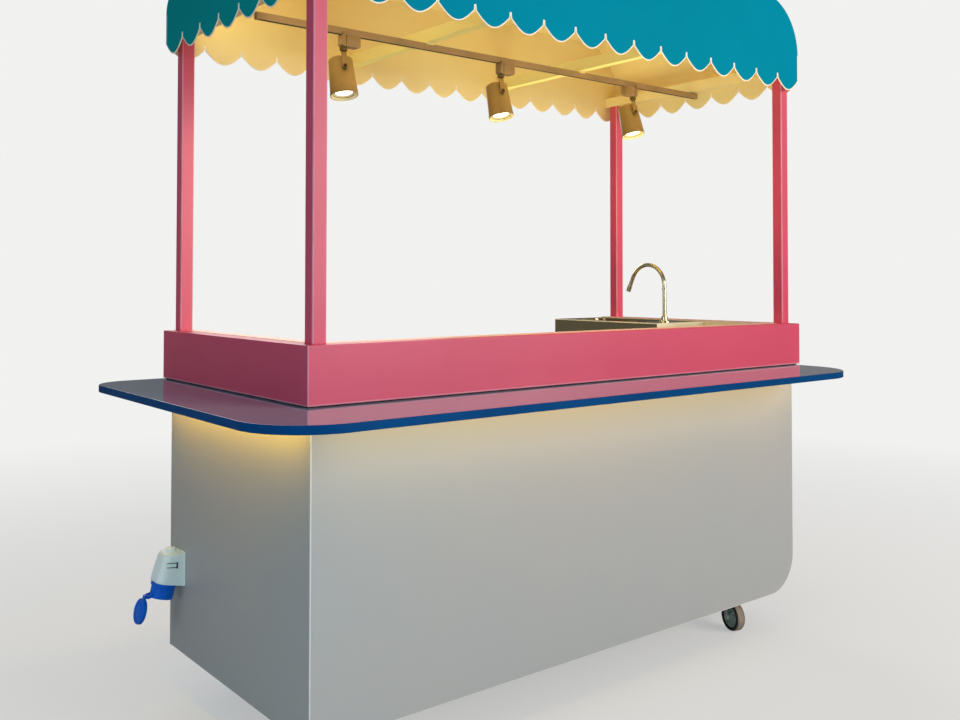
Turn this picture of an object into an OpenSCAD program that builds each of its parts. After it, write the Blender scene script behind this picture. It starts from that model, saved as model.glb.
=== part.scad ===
// Street kiosk on castors: a panelled body under a glossy serving counter, a pink upstand with four
// posts, and a loaf-shaped canopy whose valances are cut in scallops. Three track spotlights hang
// under the canopy, and a hand-wash sink with a swivelling tap stands at the right end.
// Millimetres, Z up. X runs along the front from left to right, Y runs from the front to the back.
// The pieces are drawn from the body's front left foot, then moved so that the origin is the middle
// of the whole outline on the floor.

/* [Body] */
// Length of the body, along X
body_l = 2000; // [1700:10:2600]
// Depth of the body, along Y
body_d = 875; // [750:5:1100]
// Height of the body's panels
body_h = 794; // [650:2:950]
// Thickness of the body's panels
panel_t = 20; // [12:1:28]
// Outer radius of the bend at the foot of the right end
foot_r = 130; // [80:5:200]

/* [Counter] */
// Thickness of the counter board
counter_t = 21; // [12:1:30]
// Reach of the counter beyond the body's left end
shelf_left = 240; // [180:2:320]
// Reach of the counter beyond the body's front
shelf_front = 284; // [200:2:360]
// Reach of the counter beyond the body's back
shelf_back = 35; // [22:1:80]
// Radius of the counter's two front corners
counter_r = 180; // [60:5:195]
// Radius of the counter's back left corner, where people walk past the inlet
counter_left_r = 105; // [20:5:120]
// Radius of the counter's back right corner
counter_right_r = 15; // [3:1:40]
// Width of the light strip under the counter
strip_w = 14; // [8:1:24]
// Height of the light strip under the counter
strip_h = 9; // [6:1:16]

/* [Upstand] */
// Height of the upstand's box section
upstand_h = 147; // [135:1:220]
// Width of the upstand's box section
upstand_w = 94; // [70:2:120]
// Sheet thickness of the upstand
upstand_t = 4; // [2:0.5:8]
// How far the upstand stands out past the body
upstand_over = 20; // [0:1:30]
// Height of the dark joint between the counter and the upstand
joint_h = 3; // [2:1:12]
// How far the dark joint is set back from the upstand's face
joint_in = 8; // [4:1:20]
// Thickness of the stainless worktop inside the upstand
worktop_t = 3; // [1.5:0.5:5]

/* [Posts] */
// Side of the square posts
post_w = 40; // [30:1:60]
// Wall of the square posts
post_t = 2.5; // [1.5:0.5:5]
// Height of the posts, from the upstand to the canopy frame
post_h = 915; // [700:1:1200]

/* [Canopy] */
// Thickness of the canopy's sheets
sheet_t = 3; // [2:0.5:6]
// Number of scallops along a long side
long_scallops = 16; // [10:1:18]
// Number of scallops along a short side
short_scallops = 7; // [4:1:9]
// Depth of a scallop, from its cusps to its tip
scallop_d = 39; // [25:1:50]
// Width at the cusp of the slot that is cut up from it, and narrows as it rises
slot_w = 4; // [2:0.5:6]
// Height of the slot that is cut up from each cusp
slot_h = 17; // [8:1:30]
// How far the cusps hang below the canopy frame
cusp_drop = 21; // [5:1:40]
// Upright height of the canopy's ends, from the cusps to the bend
valance_h = 94; // [70:1:200]
// Outer radius of the bend from the ends into the roof
roof_r = 200; // [100:5:300]
// Height of the canopy frame's rails
rail_h = 40; // [25:1:60]
// Wall of the canopy frame's rails
rail_t = 2.5; // [1.5:0.5:5]
// Width of the two bars across the canopy frame
bar_w = 30; // [20:1:50]

/* [Lights] */
// Width of the light track
track_w = 16; // [14:1:40]
// Height of the light track
track_h = 20; // [16:1:28]
// Gap between the light track and the bars, which two clips fill
track_gap = 4; // [2:1:12]
// Distance of the light track's left end from the canopy's left end
track_in_left = 78; // [10:1:150]
// Distance of the light track's right end from the canopy's right end
track_in_right = 25; // [10:1:150]
// Length of a spotlight's track adapter
adapter_l = 64; // [50:1:90]
// Height of a spotlight's track adapter
adapter_h = 36; // [28:1:50]
// Width of a spotlight's track adapter
adapter_w = 28; // [20:1:40]
// Length of a spotlight's head
head_l = 123; // [96:1:140]
// Radius of a spotlight's head at its back
head_back_r = 37; // [24:1:38]
// Radius of a spotlight's head at its lens
head_face_r = 43; // [36:1:50]
// Length of a spotlight's arm, from the collar to the tilt pivot
arm_l = 48; // [44:1:70]
// Distance of the tilt pivot below the head's back
pivot_drop = 45; // [26:1:46]
// Clearance between a spotlight's head and its arm
head_gap = 5; // [5:0.5:10]

/* [Sink] */
// Length of the sink unit along X
sink_l = 276; // [220:2:400]
// Depth of the sink unit along Y
sink_d = 555; // [460:5:700]
// How far the sink unit's deck lies below the upstand's rim
deck_drop = 2; // [0:1:20]
// Sheet thickness of the sink unit
sink_t = 3; // [1.5:0.5:5]
// Depth of the bowl
bowl_h = 120; // [80:5:125]
// Corner radius of the bowl
bowl_r = 40; // [15:1:60]
// Width of the deck around the bowl
bowl_rim = 32; // [20:1:50]
// Distance of the tap from the sink unit's left wall
tap_in_x = 100; // [40:5:140]
// Distance of the tap from the sink unit's front wall
tap_in_y = 50; // [35:1:80]
// Radius of the tap's tube
tap_r = 7.5; // [5:0.5:14]
// Radius of the tap's bend
tap_bend = 84; // [60:1:120]
// Height of the tap's straight tube above its base
tap_rise = 114; // [60:1:200]
// Height of the tap's base
tap_base_h = 22; // [12:1:50]
// Length of the tap's straight end after its bend
tap_end = 60; // [40:1:80]

/* [Power inlet] */
// Width of the inlet's housing
inlet_w = 84; // [74:1:110]
// Height of the inlet's housing at the panel
inlet_h = 100; // [90:1:140]
// Reach of the housing from the panel at its foot
inlet_foot = 82; // [78:1:110]
// Reach of the housing from the panel at its top
inlet_top = 54; // [46:1:70]
// Radius of the housing's two outer corners
inlet_r = 24; // [6:1:30]
// Height of the housing's foot above the body's underside
inlet_z = 203; // [180:1:400]
// Outer radius of the blue socket
socket_r = 34; // [28:0.5:35]
// Length of the blue socket
socket_l = 44; // [36:1:70]
// Lean of the socket out from the panel, in degrees
socket_lean = 13; // [5:1:20]
// Angle that the lid hangs open from shut, in degrees
lid_open = 92; // [60:1:100]

/* [Castors] */
// Height from the floor to the body's underside
castor_h = 126; // [118:1:160]
// Radius of a wheel
wheel_r = 50; // [38:1:52]
// Width of a wheel
wheel_w = 36; // [22:1:40]
// Distance of a wheel's axle behind its swivel
trail = 34; // [20:1:45]
// Clearance between a wheel and its fork
wheel_gap = 5; // [5:0.5:8]
// Distance of a swivel from the body's left end, and the same from its right end
castor_in_x = 230; // [190:5:400]
// Distance of a swivel from the body's front and back
castor_in_y = 120; // [100:5:200]

/* [Hidden] */
$fn = 64;

// Levels above the floor
z_body = castor_h;
z_board = z_body + body_h;
z_counter = z_board + counter_t;
z_upstand = z_counter + joint_h;
z_rim = z_upstand + upstand_h;
z_frame = z_rim + post_h;
z_cusp = z_frame - cusp_drop;
z_bend = z_cusp + valance_h;
z_track = z_frame - track_gap - track_h;
z_adapter = z_track - adapter_h;
z_deck = z_rim - deck_drop;

// Outline that the upstand and the canopy share
rim_x0 = -upstand_over;
rim_x1 = body_l + upstand_over;
rim_y0 = -upstand_over;
rim_y1 = body_d + upstand_over;
rim_l = rim_x1 - rim_x0;
rim_d = rim_y1 - rim_y0;
inner_x0 = rim_x0 + upstand_w;
inner_x1 = rim_x1 - upstand_w;
inner_y0 = rim_y0 + upstand_w;
post_in = (upstand_w - post_w) / 2;
rail_w = post_in + post_w - sheet_t;
rail_l = rim_d - 2 * sheet_t;
bar_x = [for (third = [1, 2]) rim_x0 + rim_l * third / 3 - bar_w / 2];

// Middle of the whole outline, which becomes the origin
mid_x = (rim_x1 - shelf_left) / 2;
mid_y = (body_d + shelf_back - shelf_front) / 2;

// Spotlights: place of each swivel along the track, its lean to the front, the adapter's side, and
// the turn of each arm about itself, which brings the head behind it and to the right
track_y = 430;
spot_x = [345, 961, 1619];
spot_lean = [12, 14, 15];
spot_side = [1, 1, -1];
spot_twist = -17;
arm_t = 4;
arm_w = 16;
collar_r = 12;
collar_h = 11;
z_collar = z_adapter - collar_h;
head_cone = (head_face_r - head_back_r) * (pivot_drop + arm_w / 2) / head_l;
head_y = head_back_r + head_cone + head_gap + arm_t / 2;
fit_gap = 0.3;

// Sink and tap
sink_x0 = inner_x1 - sink_l;
sink_y0 = rim_y1 - sink_d;
tap_x = sink_x0 + tap_in_x;
tap_y = sink_y0 + tap_in_y;
tap_turn = 155;
nozzle_h = 26;
nozzle_wall = 1.5;
bowl_front = tap_y + 80;

// Power inlet
inlet_y = body_d - 75;
z_inlet = z_body + inlet_z;
foot_rise = tan(socket_lean);
socket_x = -48;
socket_wall = 3;
plug_r = 15;
plug_h = 12;
socket_floor = 10;
flange_h = 8;
flange_r = socket_r + 4;
hinge_v = socket_r + 8;
hinge_r = 5;
hinge_w = 16;
hinge_gap = 0.5;
ear_gap = 1;
lid_r = socket_r + 3;
lid_h = 12;
lid_gap = 5;

// Castors: swivel places, anticlockwise from the front left, and where each wheel trails
castor_x = [castor_in_x, body_l - castor_in_x, body_l - castor_in_x, castor_in_x];
castor_y = [castor_in_y, castor_in_y, body_d - castor_in_y, body_d - castor_in_y];
castor_turn = [245, 252, 75, 100];
plate_t = 5;
fork_t = 3;
fork_in = wheel_w / 2 + wheel_gap;
z_crown = wheel_r * 2 + wheel_gap;

// Moves a piece from the body's front left foot to the origin in the middle of the outline
module in_frame() {
    translate([-mid_x, -mid_y, 0]) children();
}

// Square-section tube along X, from the origin
module tube_x(l, w, h, t) {
    rotate([90, 0, 90]) linear_extrude(l) difference() {
        square([w, h]);
        translate([t, t]) square([w - 2 * t, h - 2 * t]);
    }
}

// Flat outline with four rounded corners: its box as [x0, y0, x1, y1], and its radii anticlockwise
// from the front left
module rounded_outline(box, r) {
    union() {
        difference() {
            translate([box[0], box[1]]) square([box[2] - box[0], box[3] - box[1]]);
            translate([box[0], box[1]]) square(r[0]);
            translate([box[2] - r[1], box[1]]) square(r[1]);
            translate([box[2] - r[2], box[3] - r[2]]) square(r[2]);
            translate([box[0], box[3] - r[3]]) square(r[3]);
        }
        translate([box[0] + r[0], box[1] + r[0]]) circle(r[0]);
        translate([box[2] - r[1], box[1] + r[1]]) circle(r[1]);
        translate([box[2] - r[2], box[3] - r[2]]) circle(r[2]);
        translate([box[0] + r[3], box[3] - r[3]]) circle(r[3]);
    }
}

// Quarter bend in section: the part of a ring between its leftmost and topmost points
module quarter_ring(r, t) {
    intersection() {
        difference() {
            circle(r);
            circle(r - t);
        }
        translate([-r, 0]) square([r, r]);
    }
}

// Floor of the body, between the panels and up to the bend of the right end
module floor_panel() in_frame() color("gainsboro")
    translate([panel_t, panel_t, z_body])
        cube([body_l - panel_t - foot_r, body_d - 2 * panel_t, panel_t]);

// Outline of the body's long sides, square at the left foot and round at the right foot
module side_outline() {
    union() {
        translate([0, foot_r]) square([body_l, body_h - foot_r]);
        square([body_l - foot_r, foot_r]);
        translate([body_l - foot_r, foot_r]) circle(foot_r);
    }
}

module side_panel() {
    rotate([90, 0, 0]) linear_extrude(panel_t) side_outline();
}

module front_panel() in_frame() color("whitesmoke")
    translate([0, panel_t, z_body]) side_panel();

module back_panel() in_frame() color("whitesmoke")
    translate([0, body_d, z_body]) side_panel();

module left_panel() in_frame() color("whitesmoke")
    translate([0, panel_t, z_body]) cube([panel_t, body_d - 2 * panel_t, body_h]);

// The right end is one sheet with the panel's thickness, bent under the body at its foot
module right_panel() in_frame() color("whitesmoke")
    translate([body_l, body_d - panel_t, z_body]) rotate([90, 0, 0])
        linear_extrude(body_d - 2 * panel_t) union() {
            translate([-panel_t, foot_r]) square([panel_t, body_h - foot_r]);
            translate([-foot_r, foot_r]) rotate(180) quarter_ring(foot_r, panel_t);
        }

// Glossy board that covers the body and reaches past its left end and front as a serving shelf
module counter_top() in_frame() color("mediumblue")
    translate([0, 0, z_board]) linear_extrude(counter_t)
        rounded_outline([-shelf_left, -shelf_front, body_l, body_d + shelf_back],
            [counter_r, counter_r, counter_right_r, counter_left_r]);

// Light strip in the corner between the counter and the body, along the left end and the front
module light_strip() in_frame() color("khaki")
    translate([0, 0, z_board - strip_h]) linear_extrude(strip_h) union() {
        translate([-strip_w, -strip_w]) square([body_l + strip_w, strip_w]);
        translate([-strip_w, 0]) square([strip_w, body_d]);
    }

// Stainless sheet on the counter, inside the upstand and open to the back
module worktop() in_frame() color("silver")
    translate([inner_x0, inner_y0, z_counter])
        cube([inner_x1 - inner_x0, rim_y1 - inner_y0, worktop_t]);

// Dark set-back strip that lifts the upstand off the counter
module dark_joint() in_frame() color("black")
    translate([0, 0, z_counter]) linear_extrude(joint_h) difference() {
        translate([rim_x0 + joint_in, rim_y0 + joint_in])
            square([rim_l - 2 * joint_in, rim_d - 2 * joint_in]);
        translate([inner_x0 - joint_in, inner_y0 - joint_in])
            square([inner_x1 - inner_x0 + 2 * joint_in, rim_d]);
    }

// Sheet box along X, closed at both ends and open below
module upstand_box(l) {
    difference() {
        cube([l, upstand_w, upstand_h]);
        translate([upstand_t, upstand_t, -1])
            cube([l - 2 * upstand_t, upstand_w - 2 * upstand_t, upstand_h - upstand_t + 1]);
    }
}

module upstand_front() in_frame() color("palevioletred")
    translate([rim_x0, rim_y0, z_upstand]) upstand_box(rim_l);

module upstand_left() in_frame() color("palevioletred")
    translate([inner_x0, inner_y0, z_upstand]) rotate(90) upstand_box(rim_y1 - inner_y0);

module upstand_right() in_frame() color("palevioletred")
    translate([rim_x1, inner_y0, z_upstand]) rotate(90) upstand_box(rim_y1 - inner_y0);

// Square tube that stands on the middle of the upstand's rim
module post(x, y) in_frame() color("hotpink")
    translate([x, y, z_rim]) linear_extrude(post_h) difference() {
        square(post_w);
        translate([post_t, post_t]) square(post_w - 2 * post_t);
    }

module post_front_left() post(rim_x0 + post_in, rim_y0 + post_in);
module post_front_right() post(rim_x1 - post_in - post_w, rim_y0 + post_in);
module post_back_left() post(rim_x0 + post_in, rim_y1 - post_in - post_w);
module post_back_right() post(rim_x1 - post_in - post_w, rim_y1 - post_in - post_w);

// Canopy frame: a rail across each end on its two posts, and two bars across at thirds of the
// length, all from fascia to fascia
module rail(x, w) {
    translate([x + w, rim_y0 + sheet_t, z_frame]) rotate(90) tube_x(rail_l, w, rail_h, rail_t);
}

module left_rail() in_frame() color("ivory") rail(rim_x0 + sheet_t, rail_w);
module right_rail() in_frame() color("ivory") rail(rim_x1 - sheet_t - rail_w, rail_w);

module cross_bars() in_frame() color("ivory")
    for (x = bar_x) rail(x, bar_w);

// Scalloped lower edge of one side: n tongues, each half a sine wave, under a straight band, with
// a slot that rises from each cusp and narrows
module valance_outline(l, n, band_h) {
    pitch = l / n;
    steps = 12;
    difference() {
        union() {
            square([l, band_h]);
            for (i = [0 : n - 1]) translate([i * pitch, 0]) polygon(concat([[0, 1]],
                [for (s = [0 : steps]) [pitch * s / steps, -scallop_d * sin(180 * s / steps)]],
                [[pitch, 1]]));
        }
        for (i = [1 : n - 1]) translate([i * pitch, 0])
            polygon([[-slot_w / 2, -slot_w], [slot_w / 2, -slot_w], [slot_w / 8, slot_h],
                [-slot_w / 8, slot_h]]);
    }
}

// Front and back fascia: a scalloped plate whose top corners follow the roof's bends
module fascia(y) in_frame() color("darkcyan")
    translate([rim_x0, y + sheet_t, z_cusp]) rotate([90, 0, 0]) linear_extrude(sheet_t) union() {
        valance_outline(rim_l, long_scallops, valance_h);
        translate([roof_r, valance_h - 1]) square([rim_l - 2 * roof_r, roof_r + 1]);
        for (x = [roof_r, rim_l - roof_r]) intersection() {
            translate([x, valance_h]) circle(roof_r);
            translate([0, valance_h]) square([rim_l, roof_r]);
        }
    }

module front_fascia() fascia(rim_y0);
module back_fascia() fascia(rim_y1 - sheet_t);

// Scalloped plate that closes an end between the fascias, up to the roof's bend
module end_valance(x) in_frame() color("darkcyan")
    translate([x, rim_y0, z_cusp]) rotate([90, 0, 90]) linear_extrude(sheet_t) intersection() {
        valance_outline(rim_d, short_scallops, valance_h);
        translate([sheet_t, -scallop_d - 1])
            square([rim_d - 2 * sheet_t, valance_h + scallop_d + 1]);
    }

module left_valance() end_valance(rim_x0);
module right_valance() end_valance(rim_x1 - sheet_t);

// Roof: one sheet, flat on top and bent down at both ends, between the fascias
module roof_sheet() in_frame() color("darkcyan")
    translate([rim_x0, rim_y1 - sheet_t, z_bend]) rotate([90, 0, 0])
        linear_extrude(rim_d - 2 * sheet_t) union() {
            translate([roof_r, roof_r - sheet_t]) square([rim_l - 2 * roof_r, sheet_t]);
            translate([roof_r, 0]) quarter_ring(roof_r, sheet_t);
            translate([rim_l - roof_r, 0]) mirror([1, 0]) quarter_ring(roof_r, sheet_t);
        }

// Light track, a channel that is open below, with a clip up to each cross bar
track_wall = 2;
track_mouth = 8;

module light_track() in_frame() color("darkgray") union() {
    translate([rim_x0 + track_in_left, track_y - track_w / 2, z_track]) rotate([90, 0, 90])
        linear_extrude(rim_l - track_in_left - track_in_right) difference() {
            square([track_w, track_h]);
            translate([track_wall, track_wall])
                square([track_w - 2 * track_wall, track_h - 2 * track_wall]);
            translate([(track_w - track_mouth) / 2, -1]) square([track_mouth, track_wall + 2]);
        }
    for (x = bar_x) translate([x, track_y - track_w / 2, z_track + track_h - 1])
        cube([bar_w, track_w, track_gap + 1]);
}

// Adapter that clips to the track: a box with rounded lower corners, its swivel near one end
adapter_in = 12;
adapter_r = 8;

module track_adapters() in_frame() color("darkgray")
    for (i = [0 : len(spot_x) - 1])
        translate([spot_x[i] + spot_side[i] * (adapter_l / 2 - adapter_in), track_y + adapter_w / 2,
            z_adapter]) rotate([90, 0, 0]) linear_extrude(adapter_w) union() {
                translate([-adapter_l / 2, adapter_r]) square([adapter_l, adapter_h - adapter_r]);
                translate([-adapter_l / 2 + adapter_r, 0]) square([adapter_l - 2 * adapter_r, adapter_r]);
                for (s = [-1, 1]) translate([s * (adapter_l / 2 - adapter_r), adapter_r]) circle(adapter_r);
            }

// Frame of a spotlight's tilt pivot: it hangs from the collar, leans to the front and is twisted
module at_pivot(i) {
    translate([spot_x[i], track_y, z_collar]) rotate([-spot_lean[i], 0, 0]) rotate(spot_twist)
        translate([0, 0, -arm_l]) children();
}

// Arm that swivels under the adapter: a round collar, and a flat bar down to the tilt pivot in
// front of the head
module spot_arm(i) in_frame() color("darkgray") union() {
    translate([spot_x[i], track_y, z_collar]) cylinder(h = collar_h - fit_gap, r = collar_r);
    at_pivot(i) translate([-arm_w / 2, -arm_t / 2, 0]) cube([arm_w, arm_t, arm_l + 3]);
    at_pivot(i) rotate([90, 0, 0]) cylinder(h = arm_t, r = arm_w / 2, center = true);
}

module spot_arm_1() spot_arm(0);
module spot_arm_2() spot_arm(1);
module spot_arm_3() spot_arm(2);

// Head of a spotlight: a cone with a chamfered back and a recessed lens, held at its side
head_wall = 3;
lens_in = 8;
boss_r = 9;
chamfer_h = 8;
chamfer_w = 10;

module spot_head(i) in_frame() color("lightgray") at_pivot(i) union() {
    translate([0, head_y, pivot_drop - head_l]) rotate_extrude() polygon([
        [0, lens_in], [head_face_r - head_wall, lens_in], [head_face_r - head_wall, 0],
        [head_face_r, 0], [head_back_r, head_l - chamfer_h], [head_back_r - chamfer_w, head_l],
        [0, head_l]]);
    translate([0, arm_t / 2 + fit_gap, 0]) rotate([-90, 0, 0])
        cylinder(h = head_y - arm_t / 2 - fit_gap, r = boss_r);
}

module spot_head_1() spot_head(0);
module spot_head_2() spot_head(1);
module spot_head_3() spot_head(2);

// Stainless sink unit: a deck with a bowl, on three walls, against the right upstand
bowl_x0 = sink_x0 + bowl_rim;
bowl_x1 = inner_x1 - bowl_rim;
bowl_y1 = rim_y1 - bowl_rim;
drain_r = 22;

module sink_unit() in_frame() color("lightsteelblue") difference() {
    union() {
        difference() {
            translate([sink_x0, sink_y0, z_counter + worktop_t])
                cube([sink_l, sink_d, z_deck - z_counter - worktop_t]);
            translate([sink_x0 + sink_t, sink_y0 + sink_t, z_counter])
                cube([sink_l - 2 * sink_t, sink_d - 2 * sink_t, z_deck - sink_t - z_counter]);
        }
        translate([0, 0, z_deck - bowl_h - sink_t]) linear_extrude(bowl_h + sink_t)
            rounded_outline([bowl_x0 - sink_t, bowl_front - sink_t, bowl_x1 + sink_t, bowl_y1 + sink_t],
                [for (i = [0 : 3]) bowl_r + sink_t]);
    }
    translate([0, 0, z_deck - bowl_h]) linear_extrude(bowl_h + 1)
        rounded_outline([bowl_x0, bowl_front, bowl_x1, bowl_y1], [for (i = [0 : 3]) bowl_r]);
    translate([(bowl_x0 + bowl_x1) / 2, (bowl_front + bowl_y1) / 2, z_deck - bowl_h - 2 * sink_t])
        cylinder(h = 3 * sink_t, r = drain_r);
}

// Tap: a round base on the deck, and a spout that swivels on it
module tap_base() in_frame() color("gainsboro")
    translate([tap_x, tap_y, z_deck]) union() {
        cylinder(h = 5, r = tap_r + 14);
        cylinder(h = tap_base_h, r = tap_r + 5);
    }

module tap_spout() in_frame() color("gainsboro")
    translate([tap_x, tap_y, z_deck + tap_base_h + fit_gap]) union() {
        cylinder(h = tap_rise, r = tap_r);
        translate([0, tap_bend, tap_rise]) rotate([0, -90, 0]) rotate([0, 0, -90])
            rotate_extrude(angle = tap_turn) translate([tap_bend, 0]) circle(tap_r);
        translate([0, tap_bend * (1 - cos(tap_turn)), tap_rise + tap_bend * sin(tap_turn)])
            rotate([-tap_turn, 0, 0]) union() {
                cylinder(h = tap_end, r = tap_r);
                translate([0, 0, tap_end - nozzle_h]) cylinder(h = nozzle_h, r = tap_r + nozzle_wall);
            }
    }

// Power inlet: a housing on the left end, wider at its foot, with the foot square to the socket
// and a round plug in its top
module inlet_housing() in_frame() color("lightgray") union() {
    intersection() {
        translate([0, inlet_y + inlet_w / 2, z_inlet]) rotate([90, 0, 0]) linear_extrude(inlet_w)
            polygon([[0, 0], [-inlet_foot, foot_rise * inlet_foot], [-inlet_top - 6, inlet_h - 6],
                [-inlet_top, inlet_h], [0, inlet_h]]);
        translate([0, 0, z_inlet]) linear_extrude(inlet_h) union() {
            translate([-inlet_foot, inlet_y - inlet_w / 2 + inlet_r])
                square([inlet_foot, inlet_w - 2 * inlet_r]);
            translate([-inlet_foot + inlet_r, inlet_y - inlet_w / 2])
                square([inlet_foot - inlet_r, inlet_w]);
            for (s = [-1, 1])
                translate([-inlet_foot + inlet_r, inlet_y + s * (inlet_w / 2 - inlet_r)]) circle(inlet_r);
        }
    }
    translate([-inlet_top / 2, inlet_y, z_inlet + inlet_h - 1]) cylinder(h = plug_h + 1, r = plug_r);
}

// Frame of the socket: its axis leans out from the panel and points down from the housing's foot
module at_socket() {
    translate([socket_x, inlet_y, z_inlet - foot_rise * socket_x]) rotate([0, 180 + socket_lean, 0])
        children();
}

module inlet_socket() in_frame() color("royalblue") at_socket() union() {
    difference() {
        union() {
            cylinder(h = flange_h, r = flange_r);
            cylinder(h = socket_l, r = socket_r);
        }
        translate([0, 0, socket_floor]) cylinder(h = socket_l, r = socket_r - socket_wall);
    }
    for (s = [-1, 1]) translate([socket_r - 2, s * (hinge_w / 2 + hinge_gap + 2) - 2, socket_l - 12])
        cube([hinge_v - socket_r + 2 + hinge_r, 4, 12 + lid_gap - ear_gap]);
}

// Lid of the socket, drawn shut and then turned open about its hinge
module inlet_lid() in_frame() color("royalblue")
    at_socket() translate([hinge_v, 0, socket_l]) rotate([0, lid_open, 0]) union() {
        translate([-hinge_v, 0, lid_gap]) cylinder(h = lid_h - 4, r = lid_r);
        translate([-hinge_v, 0, lid_gap]) cylinder(h = lid_h, r = lid_r - 6);
        translate([-hinge_v + lid_r - 2, -hinge_w / 2, lid_gap]) cube([hinge_v - lid_r + 2, hinge_w, 6]);
        translate([-hinge_r, -hinge_w / 2, 0]) cube([2 * hinge_r, hinge_w, lid_gap + 6]);
        rotate([90, 0, 0]) cylinder(h = hinge_w, r = hinge_r, center = true);
    }

// Top plates of the castors, screwed under the floor
plate_x = 100;
plate_y = 80;

module castor_plates() in_frame() color("silver")
    for (i = [0 : 3])
        translate([castor_x[i] - plate_x / 2, castor_y[i] - plate_y / 2, z_body - plate_t])
            cube([plate_x, plate_y, plate_t]);

// Fork of a castor: a swivel ring, a crown over the wheel and two slim cheeks down to the axle
crown_r = 30;
cheek_back = 22;
cheek_front = 18;
boss_end_r = 11;

module castor_fork(i) in_frame() color("silver")
    translate([castor_x[i], castor_y[i], 0]) rotate(castor_turn[i]) union() {
        translate([0, 0, z_crown + fork_t])
            cylinder(h = z_body - plate_t - fit_gap - z_crown - fork_t, r = crown_r - 4);
        translate([-crown_r, -fork_in - fork_t, z_crown])
            cube([crown_r + trail, 2 * (fork_in + fork_t), fork_t]);
        for (s = [-1, 1]) translate([0, s * (fork_in + fork_t / 2) + fork_t / 2, 0]) rotate([90, 0, 0])
            linear_extrude(fork_t) union() {
                polygon([[-cheek_back, z_crown + fork_t], [trail - boss_end_r, wheel_r],
                    [trail + boss_end_r, wheel_r], [cheek_front, z_crown + fork_t]]);
                translate([trail, wheel_r]) circle(boss_end_r);
            }
        translate([trail, 0, wheel_r]) rotate([90, 0, 0])
            cylinder(h = 2 * (fork_in + fork_t), r = axle_r, center = true);
    }

module castor_fork_1() castor_fork(0);
module castor_fork_2() castor_fork(1);
module castor_fork_3() castor_fork(2);
module castor_fork_4() castor_fork(3);

// Wheel: a tyre with rounded shoulders on a hub, bored for the axle
axle_r = 6;
axle_gap = 0.1;
shoulder = 5;

module castor_wheel(i) in_frame() color("dimgray")
    translate([castor_x[i], castor_y[i], 0]) rotate(castor_turn[i]) translate([trail, 0, wheel_r])
        rotate([90, 0, 0]) rotate_extrude() polygon([
            [axle_r + axle_gap, -wheel_w / 2], [wheel_r * 0.5, -wheel_w / 2],
            [wheel_r * 0.5, -wheel_w / 2 + 4], [wheel_r * 0.76, -wheel_w / 2 + 4],
            [wheel_r * 0.8, -wheel_w / 2], [wheel_r - shoulder, -wheel_w / 2],
            [wheel_r, -wheel_w / 2 + shoulder], [wheel_r, wheel_w / 2 - shoulder],
            [wheel_r - shoulder, wheel_w / 2], [wheel_r * 0.8, wheel_w / 2],
            [wheel_r * 0.76, wheel_w / 2 - 4], [wheel_r * 0.5, wheel_w / 2 - 4],
            [wheel_r * 0.5, wheel_w / 2], [axle_r + axle_gap, wheel_w / 2]]);

module castor_wheel_1() castor_wheel(0);
module castor_wheel_2() castor_wheel(1);
module castor_wheel_3() castor_wheel(2);
module castor_wheel_4() castor_wheel(3);

floor_panel();
front_panel();
back_panel();
left_panel();
right_panel();
counter_top();
light_strip();
worktop();
dark_joint();
upstand_front();
upstand_left();
upstand_right();
post_front_left();
post_front_right();
post_back_left();
post_back_right();
left_rail();
right_rail();
cross_bars();
front_fascia();
back_fascia();
left_valance();
right_valance();
roof_sheet();
light_track();
track_adapters();
spot_arm_1();
spot_arm_2();
spot_arm_3();
spot_head_1();
spot_head_2();
spot_head_3();
sink_unit();
tap_base();
tap_spout();
inlet_housing();
inlet_socket();
inlet_lid();
castor_plates();
castor_fork_1();
castor_fork_2();
castor_fork_3();
castor_fork_4();
castor_wheel_1();
castor_wheel_2();
castor_wheel_3();
castor_wheel_4();
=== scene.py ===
import math

import bpy
import bmesh
from mathutils import Matrix, Vector


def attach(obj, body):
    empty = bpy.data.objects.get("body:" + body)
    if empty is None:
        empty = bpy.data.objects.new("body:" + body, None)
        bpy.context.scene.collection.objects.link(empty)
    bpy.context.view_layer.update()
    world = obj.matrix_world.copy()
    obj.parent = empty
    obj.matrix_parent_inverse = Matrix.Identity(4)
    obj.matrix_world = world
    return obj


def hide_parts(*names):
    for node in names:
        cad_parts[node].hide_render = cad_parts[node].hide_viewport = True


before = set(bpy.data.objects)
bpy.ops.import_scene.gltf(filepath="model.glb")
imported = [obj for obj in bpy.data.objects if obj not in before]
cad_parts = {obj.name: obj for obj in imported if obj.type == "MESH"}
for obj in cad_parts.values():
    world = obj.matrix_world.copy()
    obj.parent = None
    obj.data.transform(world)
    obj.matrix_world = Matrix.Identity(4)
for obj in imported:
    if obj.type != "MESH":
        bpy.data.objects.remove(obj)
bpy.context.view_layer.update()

# ---- Camera and studio ----
# The camera stands at the kiosk's front left, at standing eye height, as in the photograph. Floor
# and surround are pale. Soft lamps light the kiosk from the front, the left and behind, and small
# hidden ones add the glow that its own strip and spotlights throw.
camera_place = (-2.0573, -2.4036, 1.2447)
yaw, pitch, roll = (math.radians(a) for a in (38.4826, 1.3706, 0.0671))
eye = bpy.data.objects.new("photo_camera", bpy.data.cameras.new("photo_camera"))
bpy.context.scene.collection.objects.link(eye)
ahead = Vector((math.sin(yaw) * math.cos(pitch), math.cos(yaw) * math.cos(pitch), math.sin(pitch)))
level = Vector((math.cos(yaw), -math.sin(yaw), 0))
above = level.cross(ahead)
across = level * math.cos(roll) + above * math.sin(roll)
upward = above * math.cos(roll) - level * math.sin(roll)
turned = Matrix((across, upward, -ahead)).transposed().to_4x4()
eye.matrix_world = Matrix.Translation(camera_place) @ turned
eye.data.sensor_width = 36
eye.data.lens = 36.68
eye.data.shift_x = 0.00858
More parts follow.
